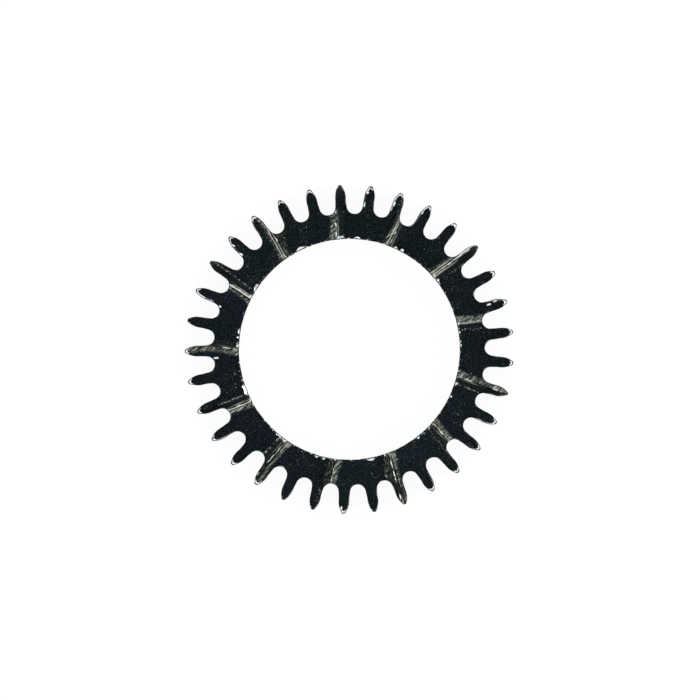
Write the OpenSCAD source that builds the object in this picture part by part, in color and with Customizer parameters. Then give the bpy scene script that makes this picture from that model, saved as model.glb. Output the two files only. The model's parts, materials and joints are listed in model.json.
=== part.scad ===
// A one-piece hardened steel ring with two sets of teeth: round-bottomed outer teeth
// with ogive points, and one-way ratchet teeth milled into its upper face.
// The back face lies on z = 0, the bore's axis is Z, and one outer tooth points along +X.

/* [Ring] */
// Diameter over the points of the outer teeth
tip_d = 4.46; // [4.38:0.01:4.6]
// Diameter of the plain bore
bore_d = 3; // [2.6:0.05:3.2]
// Height from the back face to the lands of the face teeth
ring_h = 0.5; // [0.35:0.05:1]
// Width of the turned bevels round the outer edges of both faces
rim_bevel = 0.04; // [0.01:0.005:0.07]

/* [Outer teeth] */
// Number of outer teeth
outer_teeth = 33; // [30:1:36]
// Thickness of a tooth between its parallel flanks
tooth_w = 0.145; // [0.12:0.001:0.15]
// Diameter at the bottoms of the round valleys between the teeth
root_d = 3.675; // [3.5:0.005:3.72]
// Radius of the round valleys
valley_r = 0.107; // [0.1:0.001:0.112]
// Height of a tooth's flared foot above the valleys' bottoms, where its parallel flanks begin
foot_h = 0.1675; // [0.13:0.0025:0.19]
// Length of the pointed end of a tooth, beyond its parallel flanks
point_l = 0.17; // [0.12:0.005:0.2]
// Width of the blunt tip that the two arcs of a point leave
point_w = 0.035; // [0.01:0.005:0.05]

/* [Face teeth] */
// Number of ratchet teeth on the upper face
face_teeth = 13; // [11:1:15]
// Width of the flat land on a ratchet tooth, at the bore
land_w = 0.1; // [0.06:0.005:0.2]
// Angle of the long ramps to the face, in degrees
ramp_slope = 12; // [8:0.5:15]
// Angle of the steep walls to the bore's axis, in degrees
wall_lean = 32; // [10:1:40]
// Angle of the crests to the radius at the bore, in degrees
crest_skew = 5.5; // [2:0.5:10]
// Radius of the disc cutter that leaves the ramps slightly hollow
cutter_r = 4.9; // [4:0.1:8]

/* [Hidden] */

steel = [0.16, 0.17, 0.18];
round_fn = 180;
cutter_fn = 540;
// Overlap that makes an arc cross the flank it runs into, where it would only touch it
bite = 0.0005;
// How far a cut runs on past the surface it leaves
past = 0.1;

tip_r = tip_d / 2;
bore_r = bore_d / 2;
root_r = root_d / 2;
flare_r = root_r + foot_h;
half_w = tooth_w / 2;

// A tooth flares at its foot: a straight line leaves the valley's round as its tangent, for the
// tooth on +X at the point foot, and meets the parallel flank at flare_r
half_pitch = 180 / outer_teeth;
valley_at = root_r + valley_r;
valley_mid = valley_at * [cos(half_pitch), sin(half_pitch)];
flare_run = [flare_r, half_w] - valley_mid;
foot_turn = atan2(flare_run.y, flare_run.x) - acos(valley_r / norm(flare_run));
foot = valley_mid + valley_r * [cos(foot_turn), sin(foot_turn)];

// The point is two arcs that leave the flanks where point_l begins
point_at = tip_r - point_l;
arc_in = half_w - point_w / 2;
arc_r = (arc_in * arc_in + point_l * point_l) / (2 * arc_in);

// Each ratchet tooth is milled by a disc cutter that tilts with the ramp. Its lowest point
// passes over the points of the outer teeth, so the ramps are hollow along u, the direction
// of the crest, and deepest at u = tip_r. Along v, across the crest, the wall begins at
// v = wall_at at that depth, and leans out to the crest at v = crest_v.
face_pitch = 360 / face_teeth;
ramp_run = tip_r * sin(face_pitch);
wall_out = tan(wall_lean);
ramp_up = tan(ramp_slope);
crest_v = bore_r * sin(crest_skew);
land_turn = crest_skew - face_pitch + land_w / bore_r * 180 / PI;
land_rise = rise(bore_r * cos(land_turn) - tip_r);
land_away = crest_v - bore_r * sin(land_turn);
cut_depth = (land_rise + land_away * ramp_up) / (1 + wall_out * ramp_up);
wall_at = crest_v - wall_out * cut_depth;

// How much shallower the cut is at a distance along the crest from its deepest place
function rise(away) =
    (cutter_r - sqrt(cutter_r * cutter_r - away * away)) / cos(ramp_slope);

// Point in the plane, at a distance along a tooth turned by an angle, and a distance to its side
function beside(turn, along, side) = [
    along * cos(turn) - side * sin(turn),
    along * sin(turn) + side * cos(turn)
];

// Space between two outer teeth, centred on +X
module valley() {
    translate([valley_at, 0])
        circle(r = valley_r + bite, $fn = round_fn);
    polygon([
        beside(half_pitch, foot.x, -foot.y),
        beside(half_pitch, flare_r, -half_w),
        beside(half_pitch, tip_r + past, -half_w),
        beside(-half_pitch, tip_r + past, half_w),
        beside(-half_pitch, flare_r, half_w),
        beside(-half_pitch, foot.x, foot.y)
    ]);
}

// Disc whose edge is the arc on one side of a point, on the tooth on +X
module point_arc(side) {
    translate([point_at, side * (half_w + bite - arc_r)])
        circle(r = arc_r, $fn = round_fn);
}

// What the two arcs of a point take off the end of the tooth on +X
module point_waste() {
    difference() {
        translate([point_at, -tooth_w])
            square([point_l + past, 2 * tooth_w]);
        intersection() {
            point_arc(1);
            point_arc(-1);
        }
    }
}

// Outline of the toothed blank
module blank_outline() {
    difference() {
        circle(r = tip_r, $fn = round_fn);
        for (i = [0 : outer_teeth - 1]) {
            rotate(i * 2 * half_pitch)
                point_waste();
            rotate((i * 2 + 1) * half_pitch)
                valley();
        }
    }
}

// Turned bevel on the outer edge of the back face
module edge_bevel() {
    rotate_extrude($fn = round_fn)
        polygon([
            [tip_r - rim_bevel - past, -past],
            [tip_r + past, -past],
            [tip_r + past, rim_bevel + past]
        ]);
}

// Section across the crest on +X of what the cutter may take in front of the wall there
module wall_section() {
    polygon([
        [wall_at - wall_out * past, -cut_depth - past],
        [wall_at + wall_out * (cut_depth + past), past],
        [wall_at - ramp_run, past],
        [wall_at - ramp_run, -cut_depth - past]
    ]);
}

// What is milled out between the wall below the crest on +X and the land before it
module face_cut() {
    reach_u = bore_r * cos(face_pitch) - past;
    rotate(-crest_skew)
        translate([0, 0, ring_h])
            intersection() {
                translate([tip_r, wall_at, -cut_depth])
                    rotate([90 - ramp_slope, 0, 0])
                        translate([0, cutter_r, -ramp_run])
                            cylinder(h = 3 * ramp_run, r = cutter_r, $fn = cutter_fn);
                translate([reach_u, 0, 0])
                    rotate([90, 0, 90])
                        linear_extrude(tip_r + past - reach_u)
                            wall_section();
            }
}

module double_gear() {
    color(steel)
        difference() {
            linear_extrude(ring_h)
                blank_outline();
            translate([0, 0, -past])
                cylinder(h = ring_h + 2 * past, r = bore_r, $fn = round_fn);
            edge_bevel();
            translate([0, 0, ring_h])
                mirror([0, 0, 1])
                    edge_bevel();
            for (i = [0 : face_teeth - 1])
                rotate(i * face_pitch)
                    face_cut();
        }
}

double_gear();
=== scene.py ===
import json
import math
import bmesh
import bpy
from mathutils import Matrix, Vector, noise


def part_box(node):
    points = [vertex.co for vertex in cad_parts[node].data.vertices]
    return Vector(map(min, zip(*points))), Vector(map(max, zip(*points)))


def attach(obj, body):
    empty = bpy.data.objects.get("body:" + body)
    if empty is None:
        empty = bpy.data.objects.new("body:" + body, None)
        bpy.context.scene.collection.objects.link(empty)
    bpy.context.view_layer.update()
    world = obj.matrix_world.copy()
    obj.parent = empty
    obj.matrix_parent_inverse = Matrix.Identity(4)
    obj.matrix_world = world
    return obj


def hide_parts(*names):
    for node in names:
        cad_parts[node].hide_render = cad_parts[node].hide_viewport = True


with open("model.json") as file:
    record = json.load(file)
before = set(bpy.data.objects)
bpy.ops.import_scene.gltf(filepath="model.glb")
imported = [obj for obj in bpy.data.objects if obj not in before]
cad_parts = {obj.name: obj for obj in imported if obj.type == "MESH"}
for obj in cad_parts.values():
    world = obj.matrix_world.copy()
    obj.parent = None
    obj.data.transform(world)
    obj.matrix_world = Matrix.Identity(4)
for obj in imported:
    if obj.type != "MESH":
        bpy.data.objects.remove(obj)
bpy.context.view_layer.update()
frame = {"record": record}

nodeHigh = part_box("double_gear")[1]
boreMount = next(m for m in frame["record"]["mounts"] if m["name"] == "bore")

# The ring in mm and degrees; its height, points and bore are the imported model's
ring = {
    "height": nodeHigh.z * 1000,
    "tipRadius": nodeHigh.x * 1000,      # one outer tooth points along +X
    "boreRadius": boreMount["dims"]["r_mm"],
    "outerTeeth": 33,
    "toothWidth": 0.145,
    "rootRadius": 1.8375,
    "valleyRadius": 0.107,
    "footHeight": 0.1675,                # from the valleys' bottoms to the parallel flanks
    "pointLength": 0.17,
    "pointWidth": 0.035,
    "rimBevel": 0.04,
    "faceTeeth": 13,
    "landWidth": 0.1,
    "rampSlope": 12,
    "wallLean": 32,
    "crestSkew": 5.5,
    "cutterRadius": 4.9,
}

# Worn and broken edges, with painted glints and painted shade on them, in mm where a note
# gives nothing else. Outer teeth and face teeth are counted from +X. Noise is given in waves
# for each mm, with the place in it that is used
wear = {
    "rimWidth": 0.01,                    # narrow edge all round the teeth, painted dark as shade on its falling bevel
    "rimFall": 1.2,                      # how far it falls for each mm across
    "rimFallBack": 0.6,                  # the same on the back
    "rimAtTip": 0.006,                   # how much wider it is at the very points
    "rimTipReach": (0.03, 0.01),         # distances from the points' ends between which it widens
    "tipFacet": 0.032,                   # crescent facet round a point, with the dark edge; painted near white as a reflection
    "tipRadii": (2.15, 2.2),             # radii between which the crescent comes in
    "sharpPoints": (1, 2, 4, 5, 10, 15, 20, 25, 27),     # points that have kept their edge
    "sharpShare": 0.4,                   # how wide their crescents still are
    "facetFall": 0.8,                    # how far a facet falls for each mm across
    "facetClear": 0.0001,                # keeps a facet off the flanks that aren't worn
    "flankRadii": (1.92, 1.97),          # radii between which a worn flank comes in
    "wornFlanks": {                      # how wide a flank is worn to a facet painted bright as a reflection, below zero on the clockwise flank
        3: 0.012, 6: 0.013, 8: 0.011,    # clockwise flank
        9: -0.016, 13: 0.013, 15: 0.015,
        17: 0.023, 18: 0.021, 19: 0.024,
        23: 0.012, 24: 0.021, 26: 0.024,
        31: 0.015,
    },
    "toothChips": {                      # distance from the axis and from the tooth's middle,
        3: ((2.16, -0.03, 0.013),),      # and half width
        13: ((1.985, 0.026, 0.014), (2.078, 0.047, 0.011)),
        17: ((2.107, 0.043, 0.012),),
        18: ((2.06, 0.047, 0.015),),
        19: ((2.15, 0.029, 0.013), (1.964, 0.053, 0.013)),
        24: ((2.106, 0.043, 0.011), (1.949, 0.058, 0.011)),
        26: ((1.852, 0.095, 0.013),),
        28: ((1.815, 0.098, 0.012),),
    },
    "chipLength": 2.4,                   # how much longer than wide such a chip is
    "nickReach": 0.02,                   # how far inside the teeth's edge its small nicks are felt
    "nickDeep": 0.03,                    # how deep the strongest noise would cut them
    "nickWaves": 9,
    "nickRare": 0.05,                    # the higher, the fewer
    "crestBack": 0.006,                  # rounded crest, on the land and on the wall
    "crestDown": 0.008,
    "crestFall": 0.003,                  # how far the crest itself is worn down
    "boreRim": 0.012,                    # edge line of the bore, painted dark as shade
    "boreFacet": 0.036,                  # broken places beside it, where the ramps are deep, painted bright as glints
    "glintSpan": (15, 9),                # degrees before a crest, where they begin and are full
    "glintEven": 0.4,                    # their width as a share, before they are made ragged
    "glintMost": 1.1,                    # the largest share that they may reach
    "glintRagged": (                     # by how much, waves, place
        (1.2, 8, (2, 0, 0)),
        (1.6, 21, (0, 0, 0)),
    ),
    "boreEdge": 0.03,                    # how far the chipped and burred bore edge reaches
    "burr": 0.006,                       # how far it is rolled over into the bore
    "boreChips": (                       # how far it is broken back, waves, how rare, place
        (0.006, 7, 0.05, (0, 0, 0)),
        (0.005, 30, 0.0, (5, 3, 1)),
    ),
    "linedLands": {                      # how clearly lapping lines and a painted highlight run along a crest, to 1
        0: 1.0, 2: 1.0, 3: 0.4, 6: 1.0,
        7: 0.6, 9: 0.9, 10: 0.9, 12: 0.8,
    },
    "wallShines": {                      # from -1, where a wall is mottled all over, to 1, where the painted light on its strip under the crest is brightest
        0: -0.3, 1: -1.0, 2: -1.0,       # its strip under the crest is brightest
        3: -0.3, 5: 1.0, 6: 1.0,
        8: 0.2, 9: -0.6, 11: -0.3,
        12: 0.2,
    },
}

# The outline of the tooth on +X, as in the solid
outerPitch = 2 * math.pi / ring["outerTeeth"]
halfPitch = outerPitch / 2
halfWidth = ring["toothWidth"] / 2
valleyAt = ring["rootRadius"] + ring["valleyRadius"]
valleyMid = Vector((math.cos(halfPitch), math.sin(halfPitch))) * valleyAt
flareAt = ring["rootRadius"] + ring["footHeight"]
flareRun = Vector((flareAt, halfWidth)) - valleyMid
footTurn = math.atan2(flareRun.y, flareRun.x) - math.acos(ring["valleyRadius"] / flareRun.length)
foot = valleyMid + Vector((math.cos(footTurn), math.sin(footTurn))) * ring["valleyRadius"]
flareSlope = (foot.y - halfWidth) / (flareAt - foot.x)
pointAt = ring["tipRadius"] - ring["pointLength"]
arcIn = halfWidth - ring["pointWidth"] / 2
arcRadius = (arcIn ** 2 + ring["pointLength"] ** 2) / (2 * arcIn)

# The face teeth: u runs along a crest and v across it, and the crest is at v = crestLine
facePitch = 2 * math.pi / ring["faceTeeth"]
skew = math.radians(ring["crestSkew"])
wallOut = math.tan(math.radians(ring["wallLean"]))
rampUp = math.tan(math.radians(ring["rampSlope"]))
crestLine = ring["boreRadius"] * math.sin(skew)
onCrest = 1e-9      # share of a tooth by which a place on a crest counts as before it


def rise(away):
    # how much shallower the disc cutter's groove is at a distance from its deepest place
    hollow = ring["cutterRadius"] - math.sqrt(ring["cutterRadius"] ** 2 - away ** 2)
    return hollow / math.cos(math.radians(ring["rampSlope"]))


landTurn = skew - facePitch + ring["landWidth"] / ring["boreRadius"]
landRise = rise(ring["boreRadius"] * math.cos(landTurn) - ring["tipRadius"])
landAway = crestLine - ring["boreRadius"] * math.sin(landTurn)
cutDepth = (landRise + landAway * rampUp) / (1 + wallOut * rampUp)
wallAt = crestLine - wallOut * cutDepth


def smoothStep(low, high, x):
    t = min(1.0, max(0.0, (x - low) / (high - low)))
    return t * t * (3 - 2 * t)


def inTooth(x, y):
    # number of the nearest outer tooth, and the same place beside the tooth on +X
    number = round(math.atan2(y, x) / outerPitch)
    turn = -number * outerPitch
    return (number % ring["outerTeeth"],
            x * math.cos(turn) - y * math.sin(turn), x * math.sin(turn) + y * math.cos(turn))


def depthInTooth(x, y):
    # distance to the outline of the tooth on +X, above zero inside the steel
    y = abs(y)
    if x < foot.x:
        return math.hypot(x - valleyMid.x, y - valleyMid.y) - ring["valleyRadius"]
    side = halfWidth - y + max(0.0, flareAt - x) * flareSlope
    if x > pointAt:
        side = arcRadius - math.hypot(x - pointAt, y - halfWidth + arcRadius)
    return min(side, ring["tipRadius"] - x)


def edgeDepth(x, y):
    return depthInTooth(*inTooth(x, y)[1:])


def nicked(x, y):
    # moves a place near the teeth's edge inwards, where the edge has a small nick
    depth = edgeDepth(x, y)
    share = 1 - depth / wear["nickReach"]
    nick = noise.noise(Vector((x, y, 0)) * wear["nickWaves"]) - wear["nickRare"]
    if share <= 0 or nick <= 0:
        return x, y
    step = 0.0001
    inwards = Vector((edgeDepth(x + step, y) - depth, edgeDepth(x, y + step) - depth)) / step
    return Vector((x, y)) + inwards * min(1.0, share) * nick * wear["nickDeep"]


def rimDepth(x, y):
    # below zero on the edge all round the teeth that is painted dark as shade
    x, y = inTooth(x, y)[1:]
    low, high = (ring["tipRadius"] - reach for reach in wear["rimTipReach"])
    wider = smoothStep(low, high, x) * wear["rimAtTip"]
    return depthInTooth(x, y) - wear["rimWidth"] - wider


def facetDepth(x, y):
    # below zero on the crescent round a point, on a worn flank and on a chip, painted bright as a
    # reflection
    number, x, y = inTooth(x, y)
    shift = wear["wornFlanks"].get(number, 0) * smoothStep(*wear["flankRadii"], x)
    crescent = wear["tipFacet"] * smoothStep(*wear["tipRadii"], x)
    if number in wear["sharpPoints"]:
        crescent *= wear["sharpShare"]
    depth = min(depthInTooth(x, y) - crescent, depthInTooth(x, y + shift)) + wear["facetClear"]
    for along, beside, size in wear["toothChips"].get(number, ()):
        depth = min(depth, math.hypot((x - along) / wear["chipLength"], y - beside) - size)
    return depth


def boreNoise(x, y, waves, at):
    # a noise that changes only round the bore
    onBore = Vector((x, y, 0)).normalized() * ring["boreRadius"]
    return noise.noise(onBore * waves + Vector(at))


def boreRimDepth(x, y):
    # below zero on the edge line of the bore that is painted dark as shade
    return math.hypot(x, y) - ring["boreRadius"] - wear["boreRim"]


def boreFacetDepth(x, y):
    # below zero where the bore's edge is broken and painted bright as glints, in ragged places
    # before each crest
    before = -math.degrees(math.atan2(y, x)) % math.degrees(facePitch)
    patch = smoothStep(*wear["glintSpan"], before)
    ragged = wear["glintEven"]
    for strength, waves, at in wear["glintRagged"]:
        ragged += strength * boreNoise(x, y, waves, at)
    ragged = min(wear["glintMost"], max(0.0, ragged))
    return math.hypot(x, y) - ring["boreRadius"] - wear["boreFacet"] * patch * ragged


def chipSize(x, y):
    # how far the bore's upper edge is broken back
    return sum(deep * max(0.0, boreNoise(x, y, waves, at) - rare)
               for deep, waves, rare, at in wear["boreChips"])


def crestNumber(x, y, toothRule):
    # the crest that the rule picks for a place, counted from the one on +X
    turnAt = math.asin(crestLine / math.hypot(x, y)) - skew
    return toothRule((math.atan2(y, x) - turnAt) / facePitch - onCrest)


def besideCrest(x, y, toothRule):
    # u along and v across that crest
    turn = skew - crestNumber(x, y, toothRule) * facePitch
    return x * math.cos(turn) - y * math.sin(turn), x * math.sin(turn) + y * math.cos(turn)


def pastCrest(x, y):
    return besideCrest(x, y, round)[1] - crestLine


def rampHeight(u, v):
    # height of the milled ramp, against the lands
    return -cutDepth + (wallAt - v) * rampUp + rise(u - ring["tipRadius"])


def rootDistance(u, v):
    # above zero on the wall, below on the ramp in front of it
    return ((v - crestLine) / wallOut - rampHeight(u, v)) / (1 / wallOut + rampUp)


def landDistance(u, v):
    # above zero on the ramp, below on the land before it
    return -rampHeight(u, v) / rampUp


def pastRoot(x, y):
    return rootDistance(*besideCrest(x, y, math.ceil))


def pastLand(x, y):
    return landDistance(*besideCrest(x, y, math.ceil))


def crownHeight(x, y):
    # height of the toothed face over a place, against the lands
    u, v = besideCrest(x, y, math.ceil)
    height = min(0.0, max(rampHeight(u, v), (v - crestLine) / wallOut))
    past = pastCrest(x, y)
    if 0 <= past < wear["crestBack"]:
        height = min(height, -wear["crestFall"] * (1 - past / wear["crestBack"]))
    if -wear["crestDown"] < past < 0:
        low = -wear["crestDown"] / wallOut
        fall = (low + wear["crestFall"]) * -past / wear["crestDown"]
        height = min(height, -wear["crestFall"] + fall)
    return height


# How the flat ring is divided, in rows for one pitch from the bore out, and cut; lengths in mm
sheetPlan = {
    "columns": 16,
    "boreEdge": 0.4,        # where the first row lies in the bore's worn edge, as a share
    "body": 8,
    "bodyEnd": 0.06,        # from the body's last row to the valleys' bottoms
    "valley": 12,
    "foot": 3,
    "flank": 2,
    "point": 12,
    "joined": 0.0001,       # corners closer than this are one
    "snap": 0.12,           # share of an edge at its ends where a line moves the corner instead
    "steepest": 2,          # a field that changes faster than this jumps, and has no line there
    "onLine": 1e-7,         # a corner this close to a line lies on it
    "sliver": 0.0003,       # edges shorter than this are closed
    "sameRadius": 1e-5,     # radii no further apart than this count as one
    "collar": 0.03,         # band below the toothed face's edges, on the outline and in the bore
    "boreReach": 0.02,      # how far outside the bore a face still belongs to its wall
    "backNormal": -0.5,     # faces that point down more than this are the back's
}


def cutAlong(sheet, field):
    # gives the line field == 0 edges of its own across the sheet
    value = {v: field(v.co.x, v.co.y) for v in sheet.verts}

    def crossing(edge):
        a, b = (value[v] for v in edge.verts)
        if a * b >= 0 or abs(a) + abs(b) > sheetPlan["steepest"] * edge.calc_length():
            return None
        return a / (a - b)

    for edge in sheet.edges:
        share = crossing(edge)
        if share is None or sheetPlan["snap"] < share < 1 - sheetPlan["snap"]:
            continue
        nearer = edge.verts[0] if share < 0.5 else edge.verts[1]
        if not nearer.tag and not nearer.is_boundary:
            nearer.co = edge.verts[0].co.lerp(edge.verts[1].co, share)
            value[nearer] = 0.0
    for edge in sheet.edges[:]:
        share = crossing(edge)
        if share is not None:
            value[bmesh.utils.edge_split(edge, edge.verts[0], share)[1]] = 0.0
    onLine = [v for v in sheet.verts if abs(value[v]) < sheetPlan["onLine"]]
    bmesh.ops.connect_verts(sheet, verts=onLine)
    for v in onLine:
        v.tag = True        # later lines leave it where it is


def pitchRows():
    # rows across one pitch from the bore out: ("arc", radius, 0) or ("chord", x, half width)
    bore, edge = ring["boreRadius"], wear["boreEdge"]
    lastArc = ring["rootRadius"] - sheetPlan["bodyEnd"]
    rows = [("arc", bore, 0), ("arc", bore + edge * sheetPlan["boreEdge"], 0),
            ("arc", bore + edge, 0)]
    count = sheetPlan["body"]
    for i in range(1, count + 1):
        rows.append(("arc", bore + edge + (lastArc - bore - edge) * i / count, 0))
    count = sheetPlan["valley"]
    for i in range(count + 1):
        turn = halfPitch - math.pi + (footTurn - halfPitch + math.pi) * i / count
        onValley = Vector((math.cos(turn), math.sin(turn))) * ring["valleyRadius"]
        rows.append(("chord", *(valleyMid + onValley)))
    count = sheetPlan["foot"]
    for i in range(1, count + 1):
        rows.append(("chord", *foot.lerp(Vector((flareAt, halfWidth)), i / count)))
    count = sheetPlan["flank"]
    for i in range(1, count + 1):
        rows.append(("chord", flareAt + (pointAt - flareAt) * i / count, halfWidth))
    count = sheetPlan["point"]
    fullTurn = math.asin(ring["pointLength"] / arcRadius)
    for i in range(1, count + 1):
        turn = fullTurn * i / count
        half = halfWidth - arcRadius * (1 - math.cos(turn))
        rows.append(("chord", pointAt + arcRadius * math.sin(turn), half))
    return rows


def flatRing():
    # the ring's outline as a flat sheet: one pitch is shaped from a grid, then spun round
    rows = pitchRows()
    last = len(rows) - 1
    sheet = bmesh.new()
    bmesh.ops.create_grid(sheet, x_segments=sheetPlan["columns"], y_segments=last, size=1)
    for v in sheet.verts:
        kind, along, half = rows[round((v.co.y + 1) / 2 * last)]
        if kind == "arc":
            turn = v.co.x * halfPitch
            v.co = (along * math.cos(turn), along * math.sin(turn), 0)
        else:
            v.co = (along, v.co.x * half, 0)
    steps = ring["outerTeeth"] - 1
    pitch = sheet.verts[:] + sheet.edges[:] + sheet.faces[:]
    bmesh.ops.spin(sheet, geom=pitch, cent=(0, 0, 0), axis=(0, 0, 1), dvec=(0, 0, 0),
                   angle=steps * outerPitch, steps=steps, use_duplicate=True)
    bmesh.ops.remove_doubles(sheet, verts=sheet.verts, dist=sheetPlan["joined"])
    bmesh.ops.recalc_face_normals(sheet, faces=sheet.faces)
    if sheet.faces[0].normal.z < 0:
        bmesh.ops.reverse_faces(sheet, faces=sheet.faces)
    # maps and shares are added before any face is picked, because that would let go of it
    for name in ("crestPlace", "rampPlace"):
        sheet.loops.layers.uv.new(name)
    for name in ("landLines", "wallShine"):
        sheet.faces.layers.float.new(name)
    return sheet


slots = ["milledRamp", "lappedLand", "steepWall", "roundCrestHighlight", "wornFacetGlint", "shadedEdgeLine",
         "shadedBoreLine", "hobbedFlank", "turnedBore", "lappedBack"]


def finishAt(x, y):
    # which finish a place of the toothed face has
    if boreRimDepth(x, y) < 0:
        return "shadedBoreLine"
    if rimDepth(x, y) < 0:
        return "shadedEdgeLine"
    if facetDepth(x, y) < 0 or boreFacetDepth(x, y) < 0:
        return "wornFacetGlint"
    if -wear["crestDown"] < pastCrest(x, y) < wear["crestBack"]:
        return "roundCrestHighlight"
    if pastRoot(x, y) > 0:
        return "steepWall"
    return "milledRamp" if pastLand(x, y) > 0 else "lappedLand"


def markOut(sheet):
    # every border between two finishes gets edges of its own, and every face its finish
    for field in (
        lambda x, y: pastCrest(x, y) - wear["crestBack"],
        pastCrest,
        lambda x, y: pastCrest(x, y) + wear["crestDown"],
        pastRoot,
        pastLand,
        facetDepth,
        rimDepth,
        boreFacetDepth,
        boreRimDepth,
    ):
        cutAlong(sheet, field)
    bmesh.ops.dissolve_degenerate(sheet, dist=sheetPlan["sliver"], edges=sheet.edges)
    for face in sheet.faces:
        face.material_index = slots.index(finishAt(*face.calc_center_median().xy))


def toothMaps(sheet, faces):
    # two maps in mm: along and across the nearest crest, and distances past the next root and
    # past the land before it; and for each face what wear says of its face tooth
    crestPlace = sheet.loops.layers.uv["crestPlace"]
    rampPlace = sheet.loops.layers.uv["rampPlace"]
    landLines = sheet.faces.layers.float["landLines"]
    wallShine = sheet.faces.layers.float["wallShine"]
    for face in faces:
        x, y = face.calc_center_median().xy
        nearest = crestNumber(x, y, round)
        toNearest = Matrix.Rotation(skew - nearest * facePitch, 2)
        toNext = Matrix.Rotation(skew - crestNumber(x, y, math.ceil) * facePitch, 2)
        face[landLines] = wear["linedLands"].get(nearest % ring["faceTeeth"], 0)
        face[wallShine] = wear["wallShines"].get(nearest % ring["faceTeeth"], 0)
        for loop in face.loops:
            u, v = toNearest @ loop.vert.co.xy
            loop[crestPlace].uv = (u, v - crestLine)
            u, v = toNext @ loop.vert.co.xy
            loop[rampPlace].uv = (rootDistance(u, v), landDistance(u, v))


def upperPlace(v):
    # lifts a place of the flat sheet to the toothed face, with its broken edges
    x, y = v.co.xy
    radius = math.hypot(x, y)
    height = ring["height"] + crownHeight(x, y)
    height -= max(0.0, -rimDepth(x, y)) * wear["rimFall"]
    height -= max(0.0, -facetDepth(x, y)) * wear["facetFall"]
    height -= max(0.0, -boreRimDepth(x, y)) * wear["rimFall"]
    height -= max(0.0, -boreFacetDepth(x, y)) * wear["facetFall"]
    fromBore = radius - ring["boreRadius"]
    if fromBore < wear["boreEdge"] - sheetPlan["sameRadius"]:
        share = 1 - max(0.0, fromBore) / wear["boreEdge"]
        chip = chipSize(x, y)
        height -= share ** 2 * chip
        radius += share * (chip - wear["burr"])
        x, y = (c * radius / math.hypot(x, y) for c in (x, y))
    return Vector((*nicked(x, y), height))


def lowerPlace(v):
    # a place of the back, raised only by its bevel and its worn edge
    x, y = v.co.xy
    bevel = max(0.0, math.hypot(x, y) - ring["tipRadius"] + ring["rimBevel"])
    return Vector((x, y, bevel + max(0.0, -rimDepth(x, y)) * wear["rimFallBack"]))


def thicken(sheet):
    # the flat sheet becomes the back, and a raised copy of it the toothed face. Returns the
    # copy's corners
    lower = sheet.verts[:]
    raised = bmesh.ops.extrude_face_region(sheet, geom=sheet.faces[:], use_keep_orig=True)["geom"]
    upper = {g for g in raised if isinstance(g, bmesh.types.BMVert)}
    uprights = [e for e in sheet.edges if (e.verts[0] in upper) != (e.verts[1] in upper)]
    toothMaps(sheet, [g for g in raised if isinstance(g, bmesh.types.BMFace)])
    for v in upper:
        v.co = upperPlace(v)
    for v in lower:
        v.co = lowerPlace(v)
    middles = []
    for edge in uprights:
        top = edge.verts[0] if edge.verts[0] in upper else edge.verts[1]
        bottom = edge.other_vert(top)
        middle = bmesh.utils.edge_split(edge, top, 0.5)[1]
        middle.co = (*bottom.co.xy, top.co.z - sheetPlan["collar"])
        middles.append(middle)
    bmesh.ops.connect_verts(sheet, verts=middles)
    bmesh.ops.recalc_face_normals(sheet, faces=sheet.faces)
    return upper


def finishSides(sheet, upper):
    # the back, and the two sides that join it to the toothed face, get their finishes
    boreSide = ring["boreRadius"] + sheetPlan["boreReach"]
    for face in sheet.faces:
        face.smooth = True
        if face.normal.z < sheetPlan["backNormal"]:
            face.material_index = slots.index("lappedBack")
        elif not all(v in upper for v in face.verts):
            atBore = face.calc_center_median().xy.length < boreSide
            face.material_index = slots.index("turnedBore" if atBore else "hobbedFlank")


# The sharpest turns, in degrees, over which the ring is still shaded as round
softTurns = {
    "acrossFinishes": 3,
    "onOneFinish": 8,
    "onRoundFinish": 32,
    "roundFinishes": ("roundCrestHighlight", "hobbedFlank", "turnedBore"),
}


def softenEdges(sheet):
    for edge in sheet.edges:
        a, b = edge.link_faces
        most = softTurns["acrossFinishes"]
        if a.material_index == b.material_index:
            isRound = slots[a.material_index] in softTurns["roundFinishes"]
            most = softTurns["onRoundFinish" if isRound else "onOneFinish"]
        edge.smooth = a.normal.angle(b.normal, 0) < math.radians(most)


def doubleGear():
    sheet = flatRing()
    print("flat ring:", len(sheet.faces), "faces")
    markOut(sheet)
    print("toothed face marked out:", len(sheet.faces), "faces")
    upper = thicken(sheet)
    finishSides(sheet, upper)
    softenEdges(sheet)
    bmesh.ops.scale(sheet, vec=(0.001, 0.001, 0.001), verts=sheet.verts)     # mm to m

    mesh = bpy.data.meshes.new("doubleGear")
    sheet.to_mesh(mesh)
    sheet.free()
    piece = bpy.data.objects.new("doubleGear", mesh)
    bpy.context.scene.collection.objects.link(piece)
    even = piece.modifiers.new("evenShading", "WEIGHTED_NORMAL")
    even.keep_sharp = True
    print("double gear:", len(mesh.polygons), "faces")
    return piece


def shade(colour):
    # colours are written as they look on screen, 0 to 255, and nodes take linear values
    def linear(c):
        c /= 255
        return c / 12.92 if c <= 0.04045 else ((c + 0.055) / 1.055) ** 2.4
    return (*[linear(c) for c in colour], 1)


def feed(tree, socket, value):
    # links another node's output to a socket, or sets the socket's own value
    if isinstance(value, bpy.types.NodeSocket):
        tree.links.new(value, socket)
    else:
        socket.default_value = value


def place(tree, kind, inputs=None, **settings):
    node = tree.nodes.new(kind)
    for name, value in settings.items():
        setattr(node, name, value)
    for name, value in (inputs or {}).items():
        feed(tree, node.inputs[name], value)
    return node


def mixed(tree, share, a, b):
    # a where the share is 0 and b where it is 1, each another node's output or a screen colour
    node = place(tree, "ShaderNodeMix", data_type="RGBA")
    feed(tree, node.inputs[0], share)
    for socket, colour in ((node.inputs[6], a), (node.inputs[7], b)):    # its colour sockets
        feed(tree, socket, shade(colour) if isinstance(colour, tuple) else colour)
    return node.outputs[2]


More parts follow.
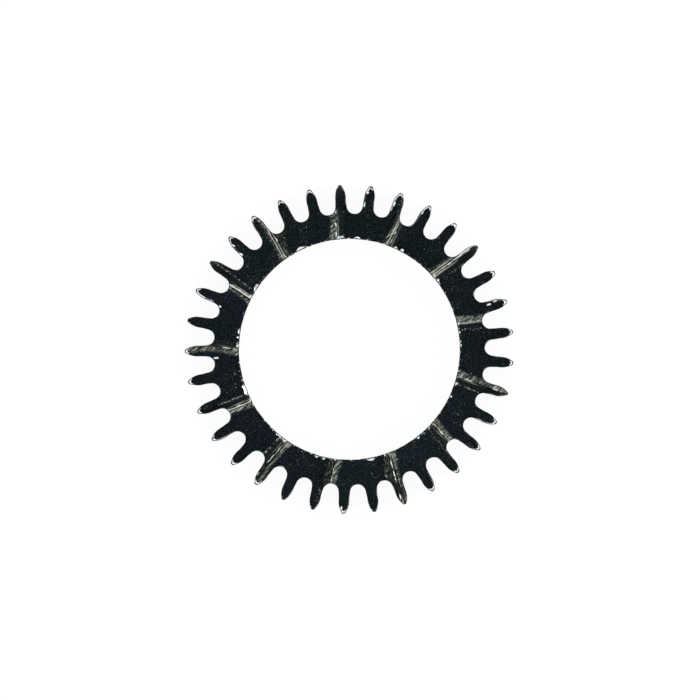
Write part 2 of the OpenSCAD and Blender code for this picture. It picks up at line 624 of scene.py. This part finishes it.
def ranged(tree, value, low, high, toLow=0.0, toHigh=1.0):
    return place(tree, "ShaderNodeMapRange", {
        "Value": value, "From Min": low, "From Max": high, "To Min": toLow, "To Max": toHigh,
    }, interpolation_type="SMOOTHSTEP").outputs[0]


def calculated(tree, operation, a, b):
    return place(tree, "ShaderNodeMath", {0: a, 1: b}, operation=operation).outputs[0]


def vectored(tree, operation, a, b=(0, 0, 0)):
    node = place(tree, "ShaderNodeVectorMath", {0: a, 1: b}, operation=operation)
    return node.outputs["Value" if operation in ("DOT_PRODUCT", "LENGTH") else "Vector"]


def clouds(tree, vector, scale=1.0, detail=1.0, roughness=0.5):
    return place(tree, "ShaderNodeTexNoise", {
        "Vector": vector, "Scale": scale, "Detail": detail, "Roughness": roughness,
    }).outputs[0]


def newGroup(name, takes, gives):
    group = bpy.data.node_groups.new(name, "ShaderNodeTree")
    for socket, (kind, value) in takes.items():
        made = group.interface.new_socket(socket, in_out="INPUT", socket_type=kind)
        if value is not None:
            made.default_value = value
    for socket in gives:
        group.interface.new_socket(socket, in_out="OUTPUT", socket_type="NodeSocketFloat")
    taken = group.nodes.new("NodeGroupInput").outputs
    given = group.nodes.new("NodeGroupOutput").inputs
    return group, taken, given


grainLook = {
    "mottleDetail": 3.0,
    "mottleRoughness": 0.6,
    "dotScale": 1.2,                # waves of the dots for one of the mottle
    "moreDots": 0.09,               # what More adds to the dots
    "speckBand": (0.73, 0.8),       # dots as strong as this are specks
}


def grainGroup():
    # fine mottle of the steel, and pale specks on it that come thicker where More is above zero
    look = grainLook
    group, taken, given = newGroup("steelGrain", {
        "Position": ("NodeSocketVector", None), "Size": ("NodeSocketFloat", 0.00002),
        "More": ("NodeSocketFloat", 0.0),
    }, ("Mottle", "Specks"))
    sized = vectored(group, "DIVIDE", taken["Position"], taken["Size"])
    mottle = clouds(group, sized, 1.0, look["mottleDetail"], look["mottleRoughness"])
    more = calculated(group, "MULTIPLY", taken["More"], look["moreDots"])
    dots = calculated(group, "ADD", clouds(group, sized, look["dotScale"]), more)
    group.links.new(mottle, given["Mottle"])
    group.links.new(ranged(group, dots, *look["speckBand"]), given["Specks"])
    return group


strokesLook = {
    "deep": 0.0003,         # metres between strokes over each other
    "detail": 2.0,
    "roughness": 0.65,
}


def strokesGroup():
    # short straight scratches of uneven strength, all one way
    look = strokesLook
    group, taken, given = newGroup("scratches", {
        "Position": ("NodeSocketVector", None), "Turn": ("NodeSocketFloat", 0.0),
        "Length": ("NodeSocketFloat", 0.0001), "Width": ("NodeSocketFloat", 0.00002),
    }, ("Strength",))
    turned = place(group, "ShaderNodeVectorRotate", {
        "Vector": taken["Position"], "Angle": taken["Turn"],
    }, rotation_type="Z_AXIS").outputs[0]
    size = place(group, "ShaderNodeCombineXYZ", {
        "X": taken["Length"], "Y": taken["Width"], "Z": look["deep"],
    }).outputs[0]
    drawn = vectored(group, "DIVIDE", turned, size)
    strokes = clouds(group, drawn, 1.0, look["detail"], look["roughness"])
    group.links.new(strokes, given["Strength"])
    return group


linesLook = {
    "placeLift": (900, 500, 0),     # how far the noise is moved for each metre of the place on
    "detail": 1.5,                  # the ring, so that no two crests have the same lines
    "roughness": 0.6,
}


def linesGroup():
    # fine lines that run along a map's first direction, such as a crest, and differ round the ring
    look = linesLook
    group, taken, given = newGroup("drawnLines", {
        "Map": ("NodeSocketVector", None), "Position": ("NodeSocketVector", None),
        "Length": ("NodeSocketFloat", 0.15), "Width": ("NodeSocketFloat", 0.014),
    }, ("Strength",))
    size = place(group, "ShaderNodeCombineXYZ", {
        "X": taken["Length"], "Y": taken["Width"], "Z": 1.0,
    }).outputs[0]
    flat = vectored(group, "DIVIDE", taken["Map"], size)
    far = vectored(group, "DOT_PRODUCT", taken["Position"], look["placeLift"])
    lift = place(group, "ShaderNodeCombineXYZ", {"Z": far}).outputs[0]
    drawn = vectored(group, "ADD", flat, lift)
    lines = clouds(group, drawn, 1.0, look["detail"], look["roughness"])
    group.links.new(lines, given["Strength"])
    return group


grain = grainGroup()
scratches = strokesGroup()
drawnLines = linesGroup()
markBand = (0.3, 0.7)       # the values that a mark has on most of a surface


def newFinish(name, metallic=1.0):
    material = bpy.data.materials.new(name)
    material.use_nodes = True
    tree = material.node_tree
    shader = tree.nodes["Principled BSDF"]
    shader.inputs["Metallic"].default_value = metallic
    position = place(tree, "ShaderNodeTexCoord").outputs["Object"]
    return material, tree, shader, position


def surfaced(tree, shader, colour, mark, look):
    # the mark also roughens the surface and lifts it
    tree.links.new(colour, shader.inputs["Base Color"])
    tree.links.new(ranged(tree, mark, *markBand, *look["roughness"]), shader.inputs["Roughness"])
    bump = place(tree, "ShaderNodeBump", {
        "Height": mark, "Strength": 1.0, "Distance": look["bumpDepth"] / 1000,
    })
    tree.links.new(bump.outputs[0], shader.inputs["Normal"])


def mapOf(tree, name):
    return place(tree, "ShaderNodeUVMap", uv_map=name).outputs[0]


def distances(tree, uv):
    # the two distances that a map holds, in mm
    split = place(tree, "ShaderNodeSeparateXYZ", {0: uv})
    return split.outputs[0], split.outputs[1]


def faceShare(tree, name):
    return place(tree, "ShaderNodeAttribute", attribute_name=name).outputs["Fac"]


def grained(tree, position, size, more=0.0):
    node = place(tree, "ShaderNodeGroup", {
        "Position": position, "Size": size / 1000, "More": more,
    }, node_tree=grain)
    return node.outputs["Mottle"], node.outputs["Specks"]


def scratched(tree, position, turn, length, width):
    return place(tree, "ShaderNodeGroup", {
        "Position": position, "Turn": turn, "Length": length / 1000, "Width": width / 1000,
    }, node_tree=scratches).outputs[0]


def lined(tree, uv, position, length, width):
    return place(tree, "ShaderNodeGroup", {
        "Map": uv, "Position": position, "Length": length, "Width": width,
    }, node_tree=drawnLines).outputs[0]


# Finishes: sizes and reaches in mm, waves for each metre. A band or a reach gives the two values
# of a noise or a distance between which its colour goes from nothing to full. Roughness goes
# with the mark, from its low values to its high ones
rampLook = {
    # painted reflection: the near black stands in for the dark that the polished ramp mirrors
    "plain": (22, 29, 30),
    "cool": (23, 29, 35),
    "coolWaves": 900.0,
    "coolBand": (0.35, 0.65),
    "mottleSize": 0.015,
    "deep": (4, 7, 8),
    "deepBand": (0.5, 0.36),
    "pale": (58, 68, 70),
    "paleBand": (0.54, 0.76),
    "speck": (148, 158, 158),
    "spot": (170, 178, 178),
    "spotSize": 0.032,
    "fewerSpots": 0.25,
    "rootReach": (-0.06, -0.005),       # where specks come thicker, at the root,
    "landReach": (0.04, 0.0),           # at the land
    "boreReach": 0.05,                  # and at the bore
    "clusterWaves": 4200.0,
    "clusterBand": (0.4, 0.62),
    "clusterMore": (-0.7, 0.35),
    "fleck": (196, 200, 190),           # painted glints along the root's fillet, in stretches
    "fleckSize": (0.035, 0.014),
    "fleckBand": (0.52, 0.62),
    "fleckReach": (-0.03, -0.008),
    "stretchWaves": 1900.0,
    "stretchBand": (0.54, 0.62),
    "spill": (70, 76, 72),              # the land's grey, spilt over its edge
    "spillBand": (0.42, 0.56),
    "spillReach": (0.024, 0.0),
    "roughness": (0.42, 0.26),
    "bumpDepth": 0.002,
}


def rampFinish():
    look = rampLook
    material, tree, shader, position = newFinish("milledRamp")
    uv = mapOf(tree, "crestPlace")
    fromRoot, fromLand = distances(tree, mapOf(tree, "rampPlace"))
    radius = vectored(tree, "LENGTH", vectored(tree, "MULTIPLY", position, (1, 1, 0)))
    boreReach = ring["boreRadius"] + look["boreReach"]
    more = calculated(tree, "MAXIMUM", ranged(tree, fromRoot, *look["rootReach"]),
                      ranged(tree, fromLand, *look["landReach"]))
    more = calculated(tree, "MAXIMUM", more,
                      ranged(tree, radius, boreReach / 1000, ring["boreRadius"] / 1000))
    cluster = clouds(tree, position, look["clusterWaves"])
    more = calculated(tree, "ADD", more,
                      ranged(tree, cluster, *look["clusterBand"], *look["clusterMore"]))
    mottle, speck = grained(tree, position, look["mottleSize"], more)
    fewer = calculated(tree, "SUBTRACT", more, look["fewerSpots"])
    spot = grained(tree, position, look["spotSize"], fewer)[1]

    broad = clouds(tree, position, look["coolWaves"])
    colour = mixed(tree, ranged(tree, broad, *look["coolBand"]), look["plain"], look["cool"])
    colour = mixed(tree, ranged(tree, mottle, *look["deepBand"]), colour, look["deep"])
    colour = mixed(tree, ranged(tree, mottle, *look["paleBand"]), colour, look["pale"])
    colour = mixed(tree, speck, colour, look["speck"])
    colour = mixed(tree, spot, colour, look["spot"])

    # painted glints along the root
    flecks = lined(tree, uv, position, *look["fleckSize"])
    stretches = clouds(tree, position, look["stretchWaves"], detail=0.0)
    rootGlint = calculated(tree, "MULTIPLY", ranged(tree, fromRoot, *look["fleckReach"]),
                        ranged(tree, flecks, *look["fleckBand"]))
    rootGlint = calculated(tree, "MULTIPLY", rootGlint, ranged(tree, stretches, *look["stretchBand"]))
    colour = mixed(tree, rootGlint, colour, look["fleck"])
    spill = calculated(tree, "MULTIPLY", ranged(tree, fromLand, *look["spillReach"]),
                       ranged(tree, mottle, *look["spillBand"]))
    colour = mixed(tree, spill, colour, look["spill"])
    surfaced(tree, shader, colour, mottle, look)
    return material


landLook = {
    "green": (76, 88, 82),
    "brown": (100, 97, 89),
    "brownWaves": 11000.0,
    "brownBand": (0.4, 0.6),
    "dark": (20, 25, 24),
    "pale": (200, 204, 194),
    "mottleSize": 0.012,
    "mottleDark": (0.44, 0.3),
    "mottlePale": (0.58, 0.74),
    "strokeTurn": math.radians(-162),
    "strokeSize": (0.12, 0.017),
    "strokeDark": (0.5, 0.38),
    "strokePale": (0.54, 0.68),
    "bright": (240, 242, 228),          # lapping lines with a painted highlight, where linedLands has them
    "lineSize": (0.8, 0.02),
    "lineReach": (0.08, 0.032),
    "lineBright": (0.56, 0.63),
    "lineDark": (0.51, 0.44),
    "moreBright": (-0.02, 0.07),        # added to the lines, more of it close to the crest, as painted highlight
    "moreReach": (0.045, 0.015),
    "edge": (30, 36, 37),
    "edgeBand": (0.56, 0.42),
    "edgeReach": (-0.022, 0.0),
    "roughness": (0.55, 0.3),
    "bumpDepth": 0.0015,
}


def landFinish():
    look = landLook
    material, tree, shader, position = newFinish("lappedLand")
    uv = mapOf(tree, "crestPlace")
    across = distances(tree, uv)[1]
    fromLand = distances(tree, mapOf(tree, "rampPlace"))[1]
    broad = clouds(tree, position, look["brownWaves"])
    colour = mixed(tree, ranged(tree, broad, *look["brownBand"]), look["green"], look["brown"])
    mottle = grained(tree, position, look["mottleSize"])[0]
    colour = mixed(tree, ranged(tree, mottle, *look["mottlePale"]), colour, look["pale"])
    colour = mixed(tree, ranged(tree, mottle, *look["mottleDark"]), colour, look["dark"])
    stroke = scratched(tree, position, look["strokeTurn"], *look["strokeSize"])
    colour = mixed(tree, ranged(tree, stroke, *look["strokeDark"]), colour, look["dark"])
    colour = mixed(tree, ranged(tree, stroke, *look["strokePale"]), colour, look["pale"])

    line = lined(tree, uv, position, *look["lineSize"])
    more = ranged(tree, across, *look["moreReach"], *look["moreBright"])
    line = calculated(tree, "ADD", line, more)
    nearCrest = calculated(tree, "MULTIPLY", ranged(tree, across, *look["lineReach"]),
                           faceShare(tree, "landLines"))
    for tone, band in (("bright", "lineBright"), ("dark", "lineDark")):
        onLine = calculated(tree, "MULTIPLY", nearCrest, ranged(tree, line, *look[band]))
        colour = mixed(tree, onLine, colour, look[tone])
    atEdge = calculated(tree, "MULTIPLY", ranged(tree, fromLand, *look["edgeReach"]),
                        ranged(tree, mottle, *look["edgeBand"]))
    colour = mixed(tree, atEdge, colour, look["edge"])
    surfaced(tree, shader, colour, stroke, look)
    return material


crestLook = {
    "dark": (30, 34, 32),
    # painted highlight along the rounded crest
    "pale": (244, 246, 236),
    "paleBand": (0.46, 0.64),
    "lineSize": (0.09, 0.03),
    "roughness": (0.45, 0.2),
    "bumpDepth": 0.001,
}


def crestFinish():
    # the rounded crest is painted bright in stretches, as a highlight
    look = crestLook
    material, tree, shader, position = newFinish("roundCrestHighlight")
    line = lined(tree, mapOf(tree, "crestPlace"), position, *look["lineSize"])
    colour = mixed(tree, ranged(tree, line, *look["paleBand"]), look["dark"], look["pale"])
    surfaced(tree, shader, colour, line, look)
    return material


wallLook = {
    "metallic": 0.3,
    "specular": 0.15,
    "upper": (60, 67, 65),              # strip under the crest, painted lighter as light falling on it
    "upperDark": (24, 29, 29),
    "upperPale": (196, 201, 192),
    "darkBand": (0.5, 0.34),
    "paleBand": (0.54, 0.64),
    "lineSize": (0.25, 0.015),
    "shineLift": 0.12,                  # how much more painted light the strip has where wallShines is 1
    "stripReach": (-0.0408, -0.0204),
    "stripFade": (1.94, 1.8),           # along the crest
    # painted shade towards the wall's foot
    "foot": (26, 31, 32),
    "footPale": (62, 70, 68),
    "mottleSize": 0.014,
    "footBand": (0.5, 0.72),
    "mottled": (112, 118, 100),         # flecks where wallShines is below zero
    "fleckSize": (0.045, 0.02),
    "fleckBand": (0.5, 0.66),
    "onTooth": (19, 24, 26),
    "roughness": (0.5, 0.32),
    "bumpDepth": 0.0015,
}


def wallFinish():
    look = wallLook
    material, tree, shader, position = newFinish("steepWall", look["metallic"])
    shader.inputs["Specular IOR Level"].default_value = look["specular"]
    uv = mapOf(tree, "crestPlace")
    along, across = distances(tree, uv)
    shine = faceShare(tree, "wallShine")
    line = calculated(tree, "ADD", lined(tree, uv, position, *look["lineSize"]),
                      calculated(tree, "MULTIPLY", shine, look["shineLift"]))
    strip = mixed(tree, ranged(tree, line, *look["darkBand"]), look["upper"], look["upperDark"])
    strip = mixed(tree, ranged(tree, line, *look["paleBand"]), strip, look["upperPale"])

    mottle, speck = grained(tree, position, look["mottleSize"])
    below = mixed(tree, ranged(tree, mottle, *look["footBand"]), look["foot"], look["footPale"])
    flecks = lined(tree, uv, position, *look["fleckSize"])
    uneven = calculated(tree, "MULTIPLY", ranged(tree, shine, 0.0, -1.0),
                        ranged(tree, flecks, *look["fleckBand"]))
    below = mixed(tree, uneven, below, look["mottled"])
    inward = ranged(tree, along, *look["stripFade"])
    onTooth = ranged(tree, along, *reversed(look["stripFade"]))
    below = mixed(tree, onTooth, below, look["onTooth"])
    # painted light on the strip under the crest, and painted shade below it
    inStrip = calculated(tree, "MULTIPLY", ranged(tree, across, *look["stripReach"]), inward)
    colour = mixed(tree, inStrip, below, strip)
    colour = mixed(tree, speck, colour, look["upperPale"])
    surfaced(tree, shader, colour, line, look)
    return material


# Finishes with one drawn-out grain, whose size is given along x, y and z
plainLooks = {
    # painted reflection: worn facets and bore glints coloured near white, as the light they would
    # mirror
    "wornFacetGlint": {
        "dark": (120, 122, 120), "pale": (254, 254, 254), "paleBand": (0.36, 0.48),
        "grain": (0.03, 0.03, 0.03), "roughness": (0.3, 0.1), "bumpDepth": 0.0015,
    },
    # painted shade on the bevelled edge of the teeth
    "shadedEdgeLine": {
        "dark": (6, 8, 9), "pale": (30, 32, 32), "paleBand": (0.35, 0.65),
        "grain": (0.03, 0.03, 0.03), "roughness": (0.6, 0.4), "bumpDepth": 0.0015,
    },
    # painted shade on the bore's edge, with a few painted glints in it
    "shadedBoreLine": {
        "dark": (4, 6, 6), "pale": (226, 226, 220), "paleBand": (0.59, 0.65),
        "grain": (0.04, 0.04, 0.2), "roughness": (0.6, 0.4), "bumpDepth": 0.0015,
    },
    "hobbedFlank": {
        "dark": (106, 110, 113), "pale": (130, 134, 137), "paleBand": (0.35, 0.65),
        "grain": (0.007, 0.007, 0.2), "roughness": (0.46, 0.26), "bumpDepth": 0.0015,
    },
    "turnedBore": {
        "dark": (106, 108, 108), "pale": (134, 136, 134), "paleBand": (0.35, 0.65),
        "grain": (0.4, 0.4, 0.006), "roughness": (0.44, 0.24), "bumpDepth": 0.0015,
    },
    "lappedBack": {
        "dark": (104, 108, 109), "pale": (130, 134, 134), "paleBand": (0.35, 0.65),
        "grain": (0.3, 0.009, 0.05), "roughness": (0.5, 0.3), "bumpDepth": 0.0015,
    },
}


def plainFinish(name):
    look = plainLooks[name]
    material, tree, shader, position = newFinish(name)
    drawn = vectored(tree, "DIVIDE", position, [size / 1000 for size in look["grain"]])
    lines = clouds(tree, drawn, detail=3.0)
    colour = mixed(tree, ranged(tree, lines, *look["paleBand"]), look["dark"], look["pale"])
    surfaced(tree, shader, colour, lines, look)
    return material


toothedFinishes = {
    "milledRamp": rampFinish,
    "lappedLand": landFinish,
    "steepWall": wallFinish,
    "roundCrestHighlight": crestFinish,
}

gear = doubleGear()
for name in slots:
    made = toothedFinishes[name]() if name in toothedFinishes else plainFinish(name)
    gear.data.materials.append(made)
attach(gear, "root")
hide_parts("double_gear")
print("finishes placed:", len(slots))


# The photograph's view, straight down on the toothed face; pixels, degrees, metres
view = {
    "side": 700,
    "tipPixels": 164.64,            # radius over the points
    "centrePixel": (349.44, 349.30),
    "turn": 124.8,                  # from +X to the right of the view
    "distance": 0.4,
    "nearest": 0.001,
    "lens": 400,                    # mm
}


def addCamera():
    camera = bpy.data.objects.new("camera", bpy.data.cameras.new("camera"))
    bpy.context.scene.collection.objects.link(camera)
    bpy.context.scene.camera = camera
    pixel = ring["tipRadius"] / 1000 / view["tipPixels"]
    camera.data.lens = view["lens"]
    camera.data.sensor_width = view["side"] * pixel / view["distance"] * view["lens"]
    camera.data.clip_start = view["nearest"]
    camera.rotation_euler = (0, 0, math.radians(view["turn"]))
    half = view["side"] / 2
    aside = Vector((half - view["centrePixel"][0], view["centrePixel"][1] - half, 0)) * pixel
    camera.location = Matrix.Rotation(camera.rotation_euler.z, 3, "Z") @ aside
    camera.location.z = nodeHigh.z + view["distance"]


# Metres, and strengths at which 1 is white
floorLook = {
    "half": 0.2,
    "cells": 8,
    "gap": 0.000002,        # below the back face, so that the two never lie in one plane
    "grey": 0.1,            # takes the ring's faint shadow
    "glow": 0.93,           # what the camera and the steel see
}


def addFloor():
    # white to the camera with the ring's faint shadow on it, and clear from beneath
    look = floorLook
    sheet = bmesh.new()
    bmesh.ops.create_grid(sheet, x_segments=look["cells"], y_segments=look["cells"],
                          size=look["half"])
    mesh = bpy.data.meshes.new("floor")
    sheet.to_mesh(mesh)
    sheet.free()
    floor = bpy.data.objects.new("floor", mesh)
    bpy.context.scene.collection.objects.link(floor)
    floor.location.z = -look["gap"]
    material = bpy.data.materials.new("paleFloor")
    material.use_nodes = True
    tree = material.node_tree
    tree.nodes.clear()
    grey = look["grey"]
    matt = place(tree, "ShaderNodeBsdfDiffuse", {"Color": (grey, grey, grey, 1)})
    path = place(tree, "ShaderNodeLightPath").outputs
    seen = calculated(tree, "MAXIMUM", path["Is Camera Ray"], path["Is Glossy Ray"])
    seen = calculated(tree, "MAXIMUM", seen, path["Is Transmission Ray"])
    strength = calculated(tree, "MULTIPLY", seen, look["glow"])
    glow = place(tree, "ShaderNodeEmission", {"Color": (1, 1, 1, 1), "Strength": strength})
    both = place(tree, "ShaderNodeAddShader", {0: matt.outputs[0], 1: glow.outputs[0]})
    under = place(tree, "ShaderNodeNewGeometry").outputs["Backfacing"]
    clear = place(tree, "ShaderNodeBsdfTransparent")
    oneSided = place(tree, "ShaderNodeMixShader", {
        0: under, 1: both.outputs[0], 2: clear.outputs[0],
    })
    place(tree, "ShaderNodeOutputMaterial", {"Surface": oneSided.outputs[0]})
    mesh.materials.append(material)


lamps = {
    "key": {"from": (-0.5, 0.6, 0.55), "size": 0.03, "power": 0.01},
    "fill": {"from": (0.7, -0.4, 0.5), "size": 0.04, "power": 0.005},
}
lampDistance = 0.06
worldStrength = (0.86, 1.0)     # as the light, and as the background


def addLight():
    world = bpy.data.worlds.new("studio")
    bpy.context.scene.world = world
    world.use_nodes = True
    tree = world.node_tree
    tree.nodes.clear()
    path = place(tree, "ShaderNodeLightPath").outputs
    seen = calculated(tree, "MAXIMUM", path["Is Camera Ray"], path["Is Transmission Ray"])
    back = place(tree, "ShaderNodeBackground", {
        "Color": (1, 1, 1, 1), "Strength": ranged(tree, seen, 0, 1, *worldStrength),
    })
    place(tree, "ShaderNodeOutputWorld", {"Surface": back.outputs[0]})
    for name, made in lamps.items():
        lamp = bpy.data.lights.new(name, "AREA")
        lamp.size = made["size"]
        lamp.energy = made["power"]
        holder = bpy.data.objects.new(name, lamp)
        bpy.context.scene.collection.objects.link(holder)
        holder.location = Vector(made["from"]).normalized() * lampDistance
        holder.rotation_euler = (-holder.location).to_track_quat("-Z", "Y").to_euler()


addCamera()
addFloor()
addLight()
bpy.context.scene.view_settings.view_transform = "Standard"
print("camera, floor and light placed")
